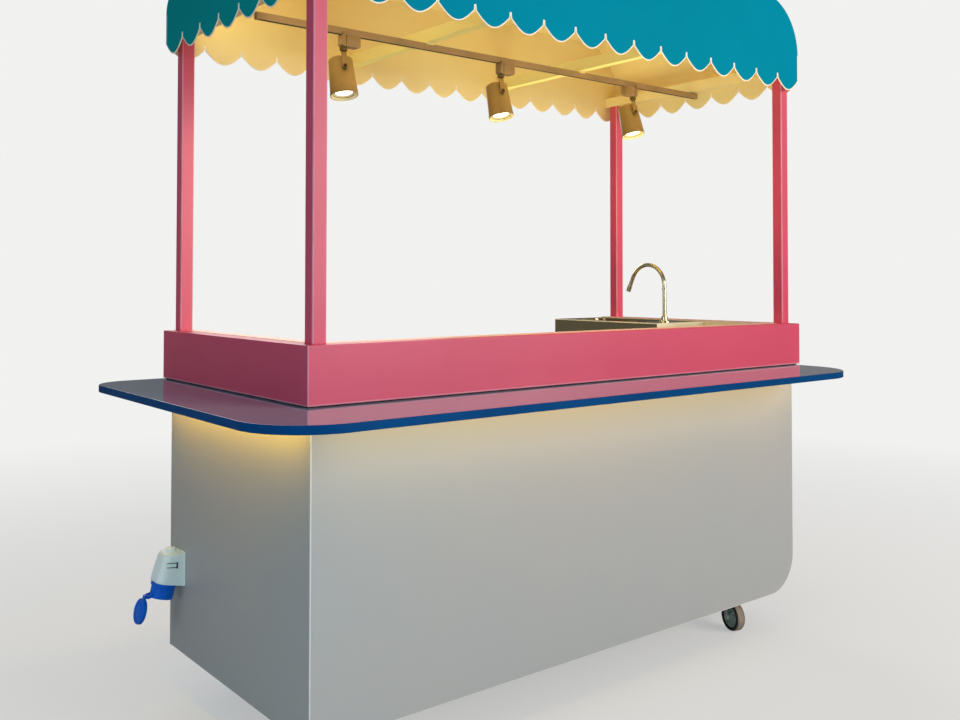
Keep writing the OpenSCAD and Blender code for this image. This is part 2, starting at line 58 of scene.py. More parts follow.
eye.data.shift_y = -0.10637
eye.data.clip_end = 200
bpy.context.scene.camera = eye
bpy.context.scene.view_settings.view_transform = "Standard"


def add(tree, kind, values=(), **settings):
    """A shader node of a kind in a tree, with the values of its input sockets and its settings."""
    node = tree.nodes.new("ShaderNode" + kind)
    for socket_name, value in dict(values).items():
        node.inputs[socket_name].default_value = value
    for key, value in settings.items():
        setattr(node, key, value)
    return node


def wire(tree, rows):
    """Links in a node tree, each row a node, its output, the next node and its input."""
    for source, output, target, entry in rows:
        tree.links.new(source.outputs[output], target.inputs[entry])


paper_white, paper_level = (0.93, 0.93, 0.92, 1), 0.95
floor_material = bpy.data.materials.new("studio_floor")
floor_material.use_nodes = True
tree = floor_material.node_tree
floor_shader = tree.nodes["Principled BSDF"]
floor_shader.inputs["Roughness"].default_value = 0.85
floor_shader.inputs["Specular IOR Level"].default_value = 0.2
floor_noise = add(tree, "TexNoise", {"Scale": 0.6})
floor_ramp = add(tree, "ValToRGB")
floor_ramp.color_ramp.elements[0].color = (0.80, 0.79, 0.77, 1)
floor_ramp.color_ramp.elements[1].color = (0.84, 0.83, 0.81, 1)
floor_tone = add(tree, "Mix", data_type="RGBA")
floor_tone.inputs[6].default_value = (0.48, 0.46, 0.42, 1)
floor_paper = add(tree, "Emission", {"Color": paper_white, "Strength": paper_level})
floor_place = add(tree, "TexCoord")
floor_reach = add(tree, "VectorMath", operation="LENGTH")
floor_fade = add(tree, "MapRange", {"From Min": 1.2, "From Max": 5.5, "To Min": 0.45, "To Max": 1.0})
floor_rays = add(tree, "LightPath")
floor_share = add(tree, "Math", operation="MULTIPLY")
floor_mix = add(tree, "MixShader")
wire(tree, (
    (floor_noise, "Fac", floor_ramp, "Fac"),
    (floor_rays, "Is Camera Ray", floor_tone, "Factor"),
    (floor_ramp, "Color", floor_tone, 7),
    (floor_tone, 2, floor_shader, "Base Color"),
    (floor_place, "Object", floor_reach, 0),
    (floor_reach, "Value", floor_fade, "Value"),
    (floor_fade, "Result", floor_share, 0),
    (floor_rays, "Is Camera Ray", floor_share, 1),
    (floor_share, "Value", floor_mix, "Fac"),
    (floor_shader, "BSDF", floor_mix, 1),
    (floor_paper, "Emission", floor_mix, 2),
    (floor_mix, "Shader", tree.nodes["Material Output"], "Surface")))
reach = 60
floor_corners = [(-reach, -reach, 0), (reach, -reach, 0), (reach, reach, 0), (-reach, reach, 0)]
floor_mesh = bpy.data.meshes.new("studio_floor")
floor_mesh.from_pydata(floor_corners, [], [(0, 1, 2, 3)])
floor_mesh.materials.append(floor_material)
studio_floor = bpy.data.objects.new("studio_floor", floor_mesh)
bpy.context.scene.collection.objects.link(studio_floor)

surround = bpy.data.worlds.new("studio_surround")
bpy.context.scene.world = surround
surround.use_nodes = True
tree = surround.node_tree
sky = tree.nodes["Background"]
sky.inputs["Color"].default_value = (0.92, 0.97, 1.0, 1)
sky.inputs["Strength"].default_value = 0.34
paper = add(tree, "Background", {"Color": paper_white, "Strength": paper_level})
mirrored = add(tree, "Background", {"Color": (0.90, 0.96, 1.0, 1), "Strength": 0.15})
rays = add(tree, "LightPath")
glint = add(tree, "MixShader")
choose = add(tree, "MixShader")
wire(tree, (
    (rays, "Is Glossy Ray", glint, "Fac"),
    (sky, "Background", glint, 1),
    (mirrored, "Background", glint, 2),
    (rays, "Is Camera Ray", choose, "Fac"),
    (glint, "Shader", choose, 1),
    (paper, "Background", choose, 2),
    (choose, "Shader", tree.nodes["World Output"], "Surface")))


def soft_lamp(name, place, aim, size, power, tint, glossy=True, spread=180):
    """A rectangular lamp at a place in metres, turned to its aim. The camera never sees it."""
    lamp = bpy.data.lights.new(name, "AREA")
    lamp.shape = "RECTANGLE"
    lamp.size, lamp.size_y = size
    lamp.energy = power
    lamp.color = tint
    lamp.spread = math.radians(spread)
    holder = bpy.data.objects.new(name, lamp)
    bpy.context.scene.collection.objects.link(holder)
    holder.location = place
    holder.rotation_mode = "QUATERNION"
    holder.rotation_quaternion = (Vector(aim) - Vector(place)).to_track_quat("-Z", "Y")
    holder.visible_camera = False
    holder.visible_glossy = glossy


soft_lamp("front_softbox", (2.8, -6.2, 2.4), (0.1, 0, 0.9), (4.5, 2.8), 332, (1.04, 0.93, 0.85))
soft_lamp("side_softbox", (-6.5, -1.2, 2.0), (-0.9, 0.1, 1.1), (3.0, 2.4), 50, (0.84, 0.92, 1.06))
soft_lamp("cool_fill", (-2.2, -2.6, 1.1), (-0.6, -0.2, 0.6), (0.8, 0.8), 16, (0.10, 0.72, 1.1), glossy=False)
soft_lamp("rear_softbox", (2.2, 6.5, 4.0), (0, 0, 1.2), (4.0, 3.0), 110, (1.0, 1.0, 1.0))
soft_lamp("canopy_glow", (0.38, 0.14, 1.13), (0.48, 0.15, 2.2), (1.9, 0.6), 7.2, (1.0, 0.93, 0.44),
          glossy=False, spread=130)
soft_lamp("spotlight_glow", (0.11, 0.10, 1.93), (0.11, 0.11, 1.0), (1.6, 0.25), 7.5, (1.0, 0.66, 0.30),
          glossy=False, spread=140)
soft_lamp("canopy_side_glow", (-0.86, 0.14, 2.08), (0.4, 0.14, 2.07), (0.7, 0.12), 1.7, (1.0, 0.90, 0.40),
          glossy=False)
soft_lamp("strip_glow_front", (0.11, -0.43, 0.912), (0.11, -0.31, 0.82), (2.0, 0.02), 1.7,
          (1.0, 0.66, 0.16), glossy=False)
soft_lamp("strip_glow_left", (-0.97, 0.125, 0.912), (-0.89, 0.125, 0.85), (0.86, 0.02), 1.45,
          (1.0, 0.58, 0.02), glossy=False)

# ---- Castors ----
# Four swivel castors: a zinc-plated plate with four bolts, a pressed fork with a ball race, and a
# wheel with a grey rubber tyre on a pale plastic hub. They carry the kiosk under its floor.


origin_x, origin_y = 890.0, 313.0


def at(x, y, z):
    """Metres in the frame, from millimetres measured from the body's front left corner and the floor."""
    return ((x - origin_x) / 1000.0, (y - origin_y) / 1000.0, z / 1000.0)


def shell(loops, kind=0, caps=(True, True), ring=False):
    """Faces through loops of equally many points. kind is a material number or a rule of (span, side)."""
    count = len(loops[0])
    faces, kinds = [], []
    rule = kind if callable(kind) else (lambda k, i: kind)
    for k in range(len(loops) if ring else len(loops) - 1):
        a, b = k * count, (k + 1) % len(loops) * count
        for i in range(count):
            j = (i + 1) % count
            faces.append((a + i, a + j, b + j, b + i))
            kinds.append(rule(k, i))
    if caps[0]:
        faces.append(tuple(range(count - 1, -1, -1)))
        kinds.append(rule(-1, 0))
    if caps[1]:
        faces.append(tuple(range((len(loops) - 1) * count, len(loops) * count)))
        kinds.append(rule(len(loops) - 1, 0))
    return [p for loop in loops for p in loop], faces, kinds


def piece(name, shells, materials, body, stands_for=()):
    """One object from shells in the body's millimetres, riding on a CAD body."""
    crease = 40
    points, faces, kinds = [], [], []
    for shell_points, shell_faces, shell_kinds in shells:
        start = len(points)
        points += [at(*p) for p in shell_points]
        faces += [tuple(start + i for i in face) for face in shell_faces]
        kinds += shell_kinds
    mesh = bpy.data.meshes.new(name)
    mesh.from_pydata(points, [], faces)
    for polygon, kind in zip(mesh.polygons, kinds):
        polygon.material_index = kind
        polygon.use_smooth = True
    mesh.validate()
    work = bmesh.new()
    work.from_mesh(mesh)
    bmesh.ops.recalc_face_normals(work, faces=work.faces)
    work.to_mesh(mesh)
    work.free()
    mesh.set_sharp_from_angle(angle=math.radians(crease))
    for material in materials:
        mesh.materials.append(material)
    made = bpy.data.objects.new(name, mesh)
    bpy.context.scene.collection.objects.link(made)
    made.modifiers.new("flat_faces", "WEIGHTED_NORMAL").keep_sharp = True
    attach(made, body)
    if stands_for:
        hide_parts(*stands_for)


def inset(outline, depth):
    """The outline moved inwards. It runs anticlockwise."""
    moved = []
    for i, (u, v) in enumerate(outline):
        before, after = outline[i - 1], outline[(i + 1) % len(outline)]
        e1 = Vector((u - before[0], v - before[1])).normalized()
        e2 = Vector((after[0] - u, after[1] - v)).normalized()
        n1, n2 = Vector((-e1.y, e1.x)), Vector((-e2.y, e2.x))
        step = (n1 + n2) / max(1 + n1.dot(n2), 0.25)
        moved.append((u + step.x * depth, v + step.y * depth))
    return moved


def slab(outline, depth, place, edge=1.0, steps=3, kind=0):
    """The outline pushed through by depth, with rounded edges. place turns (u, v, w) into x, y, z."""
    turns = [math.pi / 2 * s / steps for s in range(steps + 1)]
    rims = [(edge * (1 - math.sin(t)), edge * (1 - math.cos(t))) for t in turns]
    loops = [[place(u, v, w) for u, v in inset(outline, d)] for d, w in rims]
    loops += [[place(u, v, depth - w) for u, v in inset(outline, d)] for d, w in reversed(rims)]
    return shell(loops, kind)


def rounded_box(x0, y0, x1, y1, radii, steps=6):
    """Anticlockwise outline of a box, its radii from the lower left corner."""
    corners = [(x0 + radii[0], y0 + radii[0], 180), (x1 - radii[1], y0 + radii[1], 270),
               (x1 - radii[2], y1 - radii[2], 0), (x0 + radii[3], y1 - radii[3], 90)]
    outline = []
    for (cx, cy, start), r in zip(corners, radii):
        for s in range(steps + 1):
            a = math.radians(start + 90 * s / steps)
            outline.append((cx + r * math.cos(a), cy + r * math.sin(a)))
    return outline


def circle(radius, count, u=0.0, v=0.0):
    """Anticlockwise points of a circle about (u, v), from its left."""
    angles = [math.radians(180 + 360 * k / count) for k in range(count)]
    return [(u + radius * math.cos(a), v + radius * math.sin(a)) for a in angles]


def around(radius, degrees):
    """The point at an angle on a circle about the origin."""
    return radius * math.cos(math.radians(degrees)), radius * math.sin(math.radians(degrees))


def lathe(profile, place, count=48, kind=0, caps=(True, True)):
    """Profile of (radius, height) turned about the axis w of place."""
    loops = [[place(u, v, w) for u, v in circle(r, count)] for r, w in profile]
    return shell(loops, kind, caps)


def effect(name, inputs, outputs):
    """An empty shader node group with named sockets, and its own input and output nodes."""
    made = bpy.data.node_groups.new(name, "ShaderNodeTree")
    for label, kind, value in inputs:
        made.interface.new_socket(name=label, in_out="INPUT", socket_type=kind).default_value = value
    for label, kind in outputs:
        made.interface.new_socket(name=label, in_out="OUTPUT", socket_type=kind)
    return made, made.nodes.new("NodeGroupInput"), made.nodes.new("NodeGroupOutput")


# Coated surface: a colour that drifts slowly towards a second one, with a fine grain in its gloss
coated, c_in, c_out = effect(
    "coated_surface",
    [("Colour", "NodeSocketColor", (0.5, 0.5, 0.5, 1)), ("Second", "NodeSocketColor", (0.4, 0.4, 0.4, 1)),
     ("Drift Scale", "NodeSocketFloat", 3.0), ("Drift", "NodeSocketFloat", 0.3),
     ("Roughness", "NodeSocketFloat", 0.4), ("Gloss Spread", "NodeSocketFloat", 0.1),
     ("Grain Scale", "NodeSocketFloat", 400.0)],
    [("Colour", "NodeSocketColor"), ("Roughness", "NodeSocketFloat"), ("Height", "NodeSocketFloat")])
c_place = add(coated, "TexCoord")
c_drift = add(coated, "TexNoise", {"Detail": 4.0})
c_grain = add(coated, "TexNoise", {"Detail": 2.0})
c_share = add(coated, "MapRange", {"From Min": 0.35, "From Max": 0.65})
c_amount = add(coated, "Math", operation="MULTIPLY")
c_mix = add(coated, "Mix", data_type="RGBA")
c_centre = add(coated, "Math", {1: 0.5}, operation="SUBTRACT")
c_spread = add(coated, "Math", operation="MULTIPLY_ADD")
wire(coated, (
    (c_place, "Object", c_drift, "Vector"),
    (c_in, "Drift Scale", c_drift, "Scale"),
    (c_place, "Object", c_grain, "Vector"),
    (c_in, "Grain Scale", c_grain, "Scale"),
    (c_drift, "Fac", c_share, "Value"),
    (c_share, "Result", c_amount, 0),
    (c_in, "Drift", c_amount, 1),
    (c_amount, "Value", c_mix, "Factor"),
    (c_in, "Colour", c_mix, 6),
    (c_in, "Second", c_mix, 7),
    (c_mix, 2, c_out, "Colour"),
    (c_drift, "Fac", c_centre, 0),
    (c_centre, "Value", c_spread, 0),
    (c_in, "Gloss Spread", c_spread, 1),
    (c_in, "Roughness", c_spread, 2),
    (c_spread, "Value", c_out, "Roughness"),
    (c_grain, "Fac", c_out, "Height")))


def hue(red, green, blue):
    """Linear colour from the 0 to 255 values of a picture."""
    parts = [c / 255 for c in (red, green, blue)]
    return tuple(c / 12.92 if c <= 0.04045 else ((c + 0.055) / 1.055) ** 2.4 for c in parts) + (1,)


def finish_of(name, group, values, relief=0.0, depth=0.001, **shader_values):
    """A material whose colour, gloss and relief come from a node group, other values set on the shader."""
    material = bpy.data.materials.new(name)
    material.use_nodes = True
    tree = material.node_tree
    shader = tree.nodes["Principled BSDF"]
    for label, value in shader_values.items():
        shader.inputs[label.replace("_", " ")].default_value = value
    look = add(tree, "Group", node_tree=group)
    for label, value in values.items():
        look.inputs[label].default_value = value
    wire(tree, ((look, "Colour", shader, "Base Color"), (look, "Roughness", shader, "Roughness")))
    if relief:
        bump = add(tree, "Bump", {"Strength": relief, "Distance": depth})
        wire(tree, ((look, "Height", bump, "Height"), (bump, "Normal", shader, "Normal")))
    return material


def coat(name, colour, second, drift, gloss, grain, **others):
    """A coated finish. drift is its scale and share, gloss its roughness and spread, grain its scale."""
    values = {"Colour": hue(*colour), "Second": hue(*second), "Drift Scale": drift[0], "Drift": drift[1],
              "Roughness": gloss[0], "Gloss Spread": gloss[1], "Grain Scale": grain}
    return finish_of(name, coated, values, **others)


def dress(node, material):
    """Gives a CAD node that stays in view its material."""
    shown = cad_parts[node]
    shown.data.materials.clear()
    shown.data.materials.append(material)


castor_zinc = coat("castor_zinc", (222, 222, 214), (176, 178, 174), (60.0, 0.7), (0.38, 0.25), 900.0,
                   relief=0.15, depth=0.0004, Metallic=0.4)
castor_tyre = coat("castor_tyre", (142, 128, 118), (164, 146, 128), (45.0, 0.8), (0.72, 0.15), 1200.0,
                   relief=0.35, depth=0.0006)
tyre_wall_painted_shade = coat("tyre_wall_painted_shade", (34, 36, 36), (50, 50, 48), (50.0, 0.7), (0.6, 0.15), 1200.0,
                   relief=0.3, depth=0.0006)
castor_hub = coat("castor_hub", (176, 182, 168), (150, 156, 142), (70.0, 0.5), (0.42, 0.1), 900.0,
                  relief=0.1, depth=0.0004)

castor_spots = [(230, 120, 245), (1770, 120, 252), (1770, 755, 75), (230, 755, 100)]  # x, y, turn
plate_foot, plate_thick, axle_height, trail = 121, 5, 50, 34
# The tyre's side walls take a darker material as painted shade: they are the same grey rubber as the tread,
# turned away from the light.
tyre_kinds = lambda k, i: 1 if k < 4 or k > 20 else 0  # the tyre's side walls are darker
race = [(25, 109), (26, 110.5), (26, 113), (23.5, 114), (23.5, 115), (26, 116), (26, 119), (24, 120.6)]
crown = rounded_box(-30, -26, 34, 26, [14, 6, 6, 14])
cheek = [(-21.6, 108), (-20.6, 103), (21.6, 55), (23.2, 49), (25.8, 43), (30, 39.8), (34, 39.2),
         (38, 39.8), (42.2, 43), (44.8, 49), (43.4, 55), (19.6, 103), (18, 108)]
half_tyre = [(38.5, 15), (41, 17.2), (44.5, 17.6), (47.5, 16), (49.2, 12.5), (49.6, 10), (48.6, 9.2),
             (48.6, 8.4), (49.8, 7.6), (50, 3), (49.9, 2.2), (48.9, 1.6), (48.9, 0.9)]
half_hub = [(36.8, 13), (34.5, 14.4), (32, 13.2), (31, 8), (22, 6.5), (15, 7), (13, 13), (12, 16.5),
            (7.2, 17.2), (6.6, 16)]
spoke_shape = [(13, -2.6), (32, -1.8), (32, 1.8), (13, 2.6)]
plates = []
for number, (cx, cy, turn) in enumerate(castor_spots, 1):
    on_plate = lambda u, v, w, cx=cx, cy=cy: (cx + u, cy + v, plate_foot + w)
    under_plate = lambda u, v, w, cx=cx, cy=cy: (cx + u, cy - v, plate_foot - w)
    plates.append(slab(rounded_box(-50, -40, 50, 40, [8] * 4), plate_thick, on_plate, 1.0, 2))
    for su in (-38, 38):
        for sv in (-28, 28):
            bolt = lambda u, v, w, s=su, t=sv, f=under_plate: f(u + s, v + t, w)
            plates.append(slab(circle(8, 6), 6, bolt, 0.8, 2))
            plates.append(lathe([(9.5, 0), (9.5, 1.4), (8.6, 1.6)], bolt, 24))

    along, side = around(1, turn)
    swivel = lambda a, b, z, cx=cx, cy=cy, c=along, s=side: (cx + a * c - b * s, cy + a * s + b * c, z)
    axle = lambda u, v, w, f=swivel: f(trail + u, w, axle_height + v)
    fork = [lathe(race, swivel, 40)]
    fork.append(slab(crown, 3.4, lambda u, v, w, f=swivel: f(u, v, 105 + w), 1.2, 3))
    for inner in (23, -26):
        fork.append(slab(cheek, 3, lambda u, v, w, f=swivel, y=inner: f(u, y + w, v), 0.8, 2))
    for sign in (1, -1):
        nut = lambda u, v, w, f=swivel, s=sign: f(trail + u, s * (26 + w), axle_height + v)
        fork.append(slab(circle(9, 6), 5.5, nut, 0.8, 2))
        fork.append(lathe([(10.5, 0), (10.5, 1.5), (9.6, 1.8)], nut, 24))
    fork.append(lathe([(6, -26), (6, 26)], axle, 24))
    piece("castor_fork_dressed_%d" % number, fork, [castor_zinc], "castor_fork_%d" % number,
          ["castor_fork_%d" % number])

    tyre = half_tyre + [(r, -w) for r, w in reversed(half_tyre)] + [(37.2, -15), (37.2, 15)]
    hub = half_hub + [(r, -w) for r, w in reversed(half_hub)]
    wheel = []
    for section, points, kind in ((tyre, 72, tyre_kinds), (hub, 48, 2)):
        wheel_loops = [[axle(u, v, w) for u, v in circle(r, points)] for r, w in section]
        wheel.append(shell(wheel_loops, kind, (False, False), True))
    for spoke in range(6):
        a = math.radians(60 * spoke)
        for sign in (1, -1):
            arm = lambda u, v, w, a=a, s=sign, f=axle: f(
                u * math.cos(a) - v * math.sin(a), u * math.sin(a) + v * math.cos(a), s * (5.5 + w))
            wheel.append(slab(spoke_shape, 6.5, arm, 0.8, 2, 2))
    piece("castor_wheel_dressed_%d" % number, wheel, [castor_tyre, tyre_wall_painted_shade, castor_hub],
          "castor_wheel_%d" % number, ["castor_wheel_%d" % number])
piece("castor_plates_dressed", plates, [castor_zinc], "kiosk", ["castor_plates"])

# ---- Body ----
# A closed box of 20 mm boards faced with satin off-white laminate. The long boards cover the end
# boards' edges, and the right end is bent under the body at its foot.
laminate = coat("body_laminate", (172, 172, 171), (165, 170, 172), (1.3, 0.8), (0.4, 0.12), 240.0,
                relief=0.04, depth=0.0006)
# The boards' rounded edges wear a paler edge band: the band is real, and its paler colour is a painted
# highlight.
laminate_edge_highlight = coat("body_edge_band_highlight", (232, 230, 224), (220, 218, 210), (9.0, 0.6), (0.3, 0.1), 500.0,
                     relief=0.03, depth=0.0004)

body_length, body_depth, underside, body_top, board_thick = 2000, 875, 126, 920, 20
foot_radius, edge_round, gap = 130, 2.8, 0.05


def foot_bend(radius):
    """The bend at the right end's foot, from the underside up."""
    points = [around(radius, a) for a in range(0, 91, 5)]
    return [(body_length - foot_radius + v, underside + foot_radius - u) for u, v in points]


long_board = [(0, underside)] + foot_bend(foot_radius) + [(body_length, body_top), (0, body_top)]
turns = [math.pi * s / 8 for s in range(5)]
rims = [(edge_round * (1 - math.sin(t)), edge_round * (1 - math.cos(t))) for t in turns]
rims += [(0, board_thick - 0.2), (0.2, board_thick)]
for name, start, turn in (("front_panel", 0, 1), ("back_panel", body_depth, -1)):
    loops = [[(u, start + turn * w, v) for u, v in inset(long_board, d)] for d, w in rims]
    # The rounded edge spans take the paler edge band as a painted highlight.
    board = shell(loops, lambda k, i: 1 if 0 <= k <= 3 else 0)
    piece(name + "_dressed", [board], [laminate, laminate_edge_highlight], "kiosk", [name])
board_front, board_back = board_thick + gap, body_depth - board_thick - gap
end_board = rounded_box(board_front, underside + 0.4, board_back, body_top, [1.2] * 4, 2)
left_board = slab(end_board, board_thick, lambda u, v, w: (w, u, v), 0.3, 2)
piece("left_panel_dressed", [left_board], [laminate], "kiosk", ["left_panel"])
bent_board = foot_bend(foot_radius - 0.2) + [(body_length - 0.2, body_top)]
bent_board += [(body_length - board_thick, body_top)] + foot_bend(foot_radius - board_thick)[::-1]
right_board = slab(bent_board, board_back - board_front, lambda u, v, w: (u, board_front + w, v), 0.3, 2)
piece("right_panel_dressed", [right_board], [laminate], "kiosk", ["right_panel"])
dress("floor_panel", laminate)

# ---- Light strip and counter ----
# An aluminium channel with a glowing diffuser runs in the corner under the counter, and throws a
# warm glow down the boards. The counter is one 21 mm board with a high-gloss dark blue coat.
# Lamp face: small cells that run from a core colour to a rim colour, like light points behind a cover
lamp_face, l_in, l_out = effect(
    "lamp_face",
    [("Core", "NodeSocketColor", (1, 0.8, 0.5, 1)), ("Rim", "NodeSocketColor", (1, 0.6, 0.3, 1)),
     ("Pitch", "NodeSocketFloat", 60.0), ("Roughness", "NodeSocketFloat", 0.4)],
    [("Colour", "NodeSocketColor"), ("Roughness", "NodeSocketFloat"), ("Height", "NodeSocketFloat")])
l_place = add(lamp_face, "TexCoord")
l_cells = add(lamp_face, "TexVoronoi")
l_mix = add(lamp_face, "Mix", data_type="RGBA")
wire(lamp_face, (
    (l_place, "Object", l_cells, "Vector"),
    (l_in, "Pitch", l_cells, "Scale"),
    (l_cells, "Distance", l_mix, "Factor"),
    (l_in, "Core", l_mix, 6),
    (l_in, "Rim", l_mix, 7),
    (l_mix, 2, l_out, "Colour"),
    (l_in, "Roughness", l_out, "Roughness"),
    (l_cells, "Distance", l_out, "Height")))


def glowing(name, core, rim, pitch, strength):
    """A lit lamp face: core and rim colours, cells to the metre, and the strength of its light."""
    material = finish_of(name, lamp_face, {"Core": core, "Rim": rim, "Pitch": pitch, "Roughness": 0.4},
                         Emission_Strength=strength)
    nodes = material.node_tree.nodes
    look = [node for node in nodes if node.type == "GROUP"][0]
    wire(material.node_tree, ((look, "Colour", nodes["Principled BSDF"], "Emission Color"),))
    return material


strip_glow = glowing("strip_diffuser", (1.0, 0.66, 0.25, 1), (1.0, 0.58, 0.18, 1), 60.0, 4.0)
channel = coat("strip_channel", (190, 190, 188), (165, 166, 166), (20.0, 0.5), (0.35, 0.1), 700.0,
               Metallic=0.8)
strip_out, strip_in, strip_foot, channel_foot = -13.6, -0.3, 911.2, 917
strip_path = [(strip_out, strip_out), (body_length - 1, strip_out), (body_length - 1, strip_in),
              (strip_in, strip_in), (strip_in, body_depth - 1), (strip_out, body_depth - 1)]
strip = [slab(strip_path, 5.6, lambda u, v, w: (u, v, strip_foot + w), 1.6, 3, 0),
         slab(inset(strip_path, 0.4), 2.8, lambda u, v, w: (u, v, channel_foot + w), 0.4, 1, 1)]
piece("light_strip_dressed", strip, [strip_glow, channel], "kiosk", ["light_strip"])

blue_gloss = coat("counter_blue_gloss", (2, 50, 112), (2, 42, 98), (2.0, 0.6), (0.08, 0.04), 160.0,
                  relief=0.015, depth=0.0006, Coat_Weight=0.5, Coat_Roughness=0.04, Sheen_Weight=0.13,
                  Sheen_Roughness=0.4)
blue_edge = coat("counter_blue_edge", (2, 70, 124), (2, 57, 106), (5.0, 0.6), (0.35, 0.08), 300.0,
                 relief=0.03, depth=0.0005, Specular_IOR_Level=0.03)
counter_left, counter_front, counter_back, counter_thick = -240, -284, 910, 21
counter_outline = rounded_box(counter_left, counter_front, body_length, counter_back, [180, 180, 15, 105], 16)
counter = slab(counter_outline, counter_thick, lambda u, v, w: (u, v, body_top + w), 2.4, 4,
               lambda k, i: 1 if k < 6 else 0)
piece("counter_top_dressed", [counter], [blue_gloss, blue_edge], "kiosk", ["counter_top"])

# ---- Upstand, joint and worktop ----
# A folded steel box section, powder coated pink, runs round three sides on a set-back black joint.
# Inside it a brushed stainless sheet covers the counter.
powder_pink = coat("upstand_pink_powder", (218, 80, 108), (206, 70, 100), (1.6, 0.7), (0.36, 0.1),
                   520.0, relief=0.05, depth=0.0005, Specular_IOR_Level=0.35)


def softened(outline, radius, steps=3):
    """The outline with its corners rounded, and the numbers of the sides that lie in a corner."""
    soft, corners = [], set()
    for i, corner in enumerate(outline):
        here = Vector(corner)
        before = (Vector(outline[i - 1]) - here).normalized() * radius
        after = (Vector(outline[(i + 1) % len(outline)]) - here).normalized() * radius
        for s in range(steps + 1):
            f = s / steps
            if s < steps:
                corners.add(len(soft))
            soft.append(tuple(here + before * (1 - f) ** 2 + after * f ** 2))
    return soft, corners


outer, inner, upstand_back, upstand_foot, rim_height = 20, 73, 895, 944, 1091


def round_three_sides(out, into, back):
    """A U open to the back, from out beyond the body's edge to as far into it."""
    return [(-out, -out), (body_length + out, -out), (body_length + out, back), (body_length - into, back),
            (body_length - into, into), (into, into), (into, back), (-out, back)]


u_section, u_corners = softened(round_three_sides(outer, inner, upstand_back), 3.0)
# A paler pink, painted as a highlight on the upstand's bottom hem and rounded corners and on the posts'
# rounded corners.
highlight_pink = coat("upstand_painted_highlight", (232, 146, 162), (222, 126, 146), (12.0, 0.8), (0.4, 0.1),
                 520.0, relief=0.05, depth=0.0005, Specular_IOR_Level=0.35)
upstand_height = rim_height - upstand_foot
hem = [(2.2, 0), (0.9, 0.6), (0.2, 2.0), (0, 4.2), (0, 4.4), (0, upstand_height - 2),
       (0.6, upstand_height - 0.6), (2.0, upstand_height)]
# The hem's lower spans and the rounded corners take the painted highlight.
upstand = shell([[(u, v, upstand_foot + w) for u, v in inset(u_section, d)] for d, w in hem],
                lambda k, i: 1 if k < 4 or (i in u_corners and k < 7) else 0)
piece("upstand_dressed", [upstand], [powder_pink, highlight_pink], "kiosk",
      ["upstand_front", "upstand_left", "upstand_right"])
joint_black = coat("joint_black", (16, 12, 14), (30, 22, 26), (30.0, 0.5), (0.8, 0.1), 900.0,
                   relief=0.1, depth=0.0004, Specular_IOR_Level=0.1)
dress("dark_joint", joint_black)

# Brushed sheet: fine lines in one direction, here and there fainter, in the colour and in the gloss
brushed, b_in, b_out = effect(
    "brushed_sheet",
    [("Colour", "NodeSocketColor", (0.6, 0.6, 0.6, 1)), ("Line", "NodeSocketColor", (0.5, 0.5, 0.5, 1)),
     ("Stretch", "NodeSocketVector", (3, 300, 300)), ("Roughness", "NodeSocketFloat", 0.3),
     ("Gloss Spread", "NodeSocketFloat", 0.2)],
    [("Colour", "NodeSocketColor"), ("Roughness", "NodeSocketFloat"), ("Height", "NodeSocketFloat")])
b_place = add(brushed, "TexCoord")
b_scale = add(brushed, "VectorMath", operation="MULTIPLY")
b_lines = add(brushed, "TexNoise", {"Scale": 1.0, "Detail": 3.0})
b_cloud = add(brushed, "TexNoise", {"Scale": 4.0})
b_both = add(brushed, "Math", operation="MULTIPLY")
b_mix = add(brushed, "Mix", data_type="RGBA")
b_centre = add(brushed, "Math", {1: 0.5}, operation="SUBTRACT")
b_spread = add(brushed, "Math", operation="MULTIPLY_ADD")
wire(brushed, (
    (b_place, "Object", b_scale, 0),
    (b_in, "Stretch", b_scale, 1),
    (b_scale, "Vector", b_lines, "Vector"),
    (b_place, "Object", b_cloud, "Vector"),
    (b_lines, "Fac", b_both, 0),
    (b_cloud, "Fac", b_both, 1),
    (b_both, "Value", b_mix, "Factor"),
    (b_in, "Colour", b_mix, 6),
    (b_in, "Line", b_mix, 7),
    (b_mix, 2, b_out, "Colour"),
    (b_lines, "Fac", b_centre, 0),
    (b_centre, "Value", b_spread, 0),
    (b_in, "Gloss Spread", b_spread, 1),
    (b_in, "Roughness", b_spread, 2),
    (b_spread, "Value", b_out, "Roughness"),
    (b_lines, "Fac", b_out, "Height")))
worktop_steel = finish_of(
    "worktop_stainless", brushed,
    {"Colour": hue(205, 203, 198), "Line": hue(160, 158, 152), "Stretch": (3, 320, 320), "Roughness": 0.3,
     "Gloss Spread": 0.2}, relief=0.06, depth=0.0003, Metallic=1.0)
dress("worktop", worktop_steel)
# The lining's stainless is tinted warm yellow and brightened: a painted reflection of the lit cream canopy.
lining_steel_painted_light = finish_of(
    "lining_stainless_painted_light", brushed,
    {"Colour": hue(246, 238, 206), "Line": hue(206, 196, 158), "Stretch": (3, 320, 320), "Roughness": 0.42,
     "Gloss Spread": 0.2}, relief=0.06, depth=0.0003, Metallic=0.4)
# The rim cover's stainless is tinted warm peach: painted light from the spotlights.
rim_steel_painted_light = finish_of(
    "rim_stainless_painted_light", brushed,
    {"Colour": hue(246, 208, 186), "Line": hue(222, 182, 158), "Stretch": (3, 320, 320), "Roughness": 0.42,
     "Gloss Spread": 0.2}, relief=0.06, depth=0.0003, Metallic=0.3)
lining_back = upstand_back - 0.5
lining = [slab(round_three_sides(-inner, inner + 1, lining_back), upstand_height - 0.4,
               lambda u, v, w: (u, v, upstand_foot + 0.4 + w), 0.3, 1),
          slab(round_three_sides(-28, inner + 0.8, lining_back), 0.9,
               lambda u, v, w: (u, v, rim_height + w), 0.3, 2, 1)]
piece("upstand_lining", lining, [lining_steel_painted_light, rim_steel_painted_light], "kiosk")

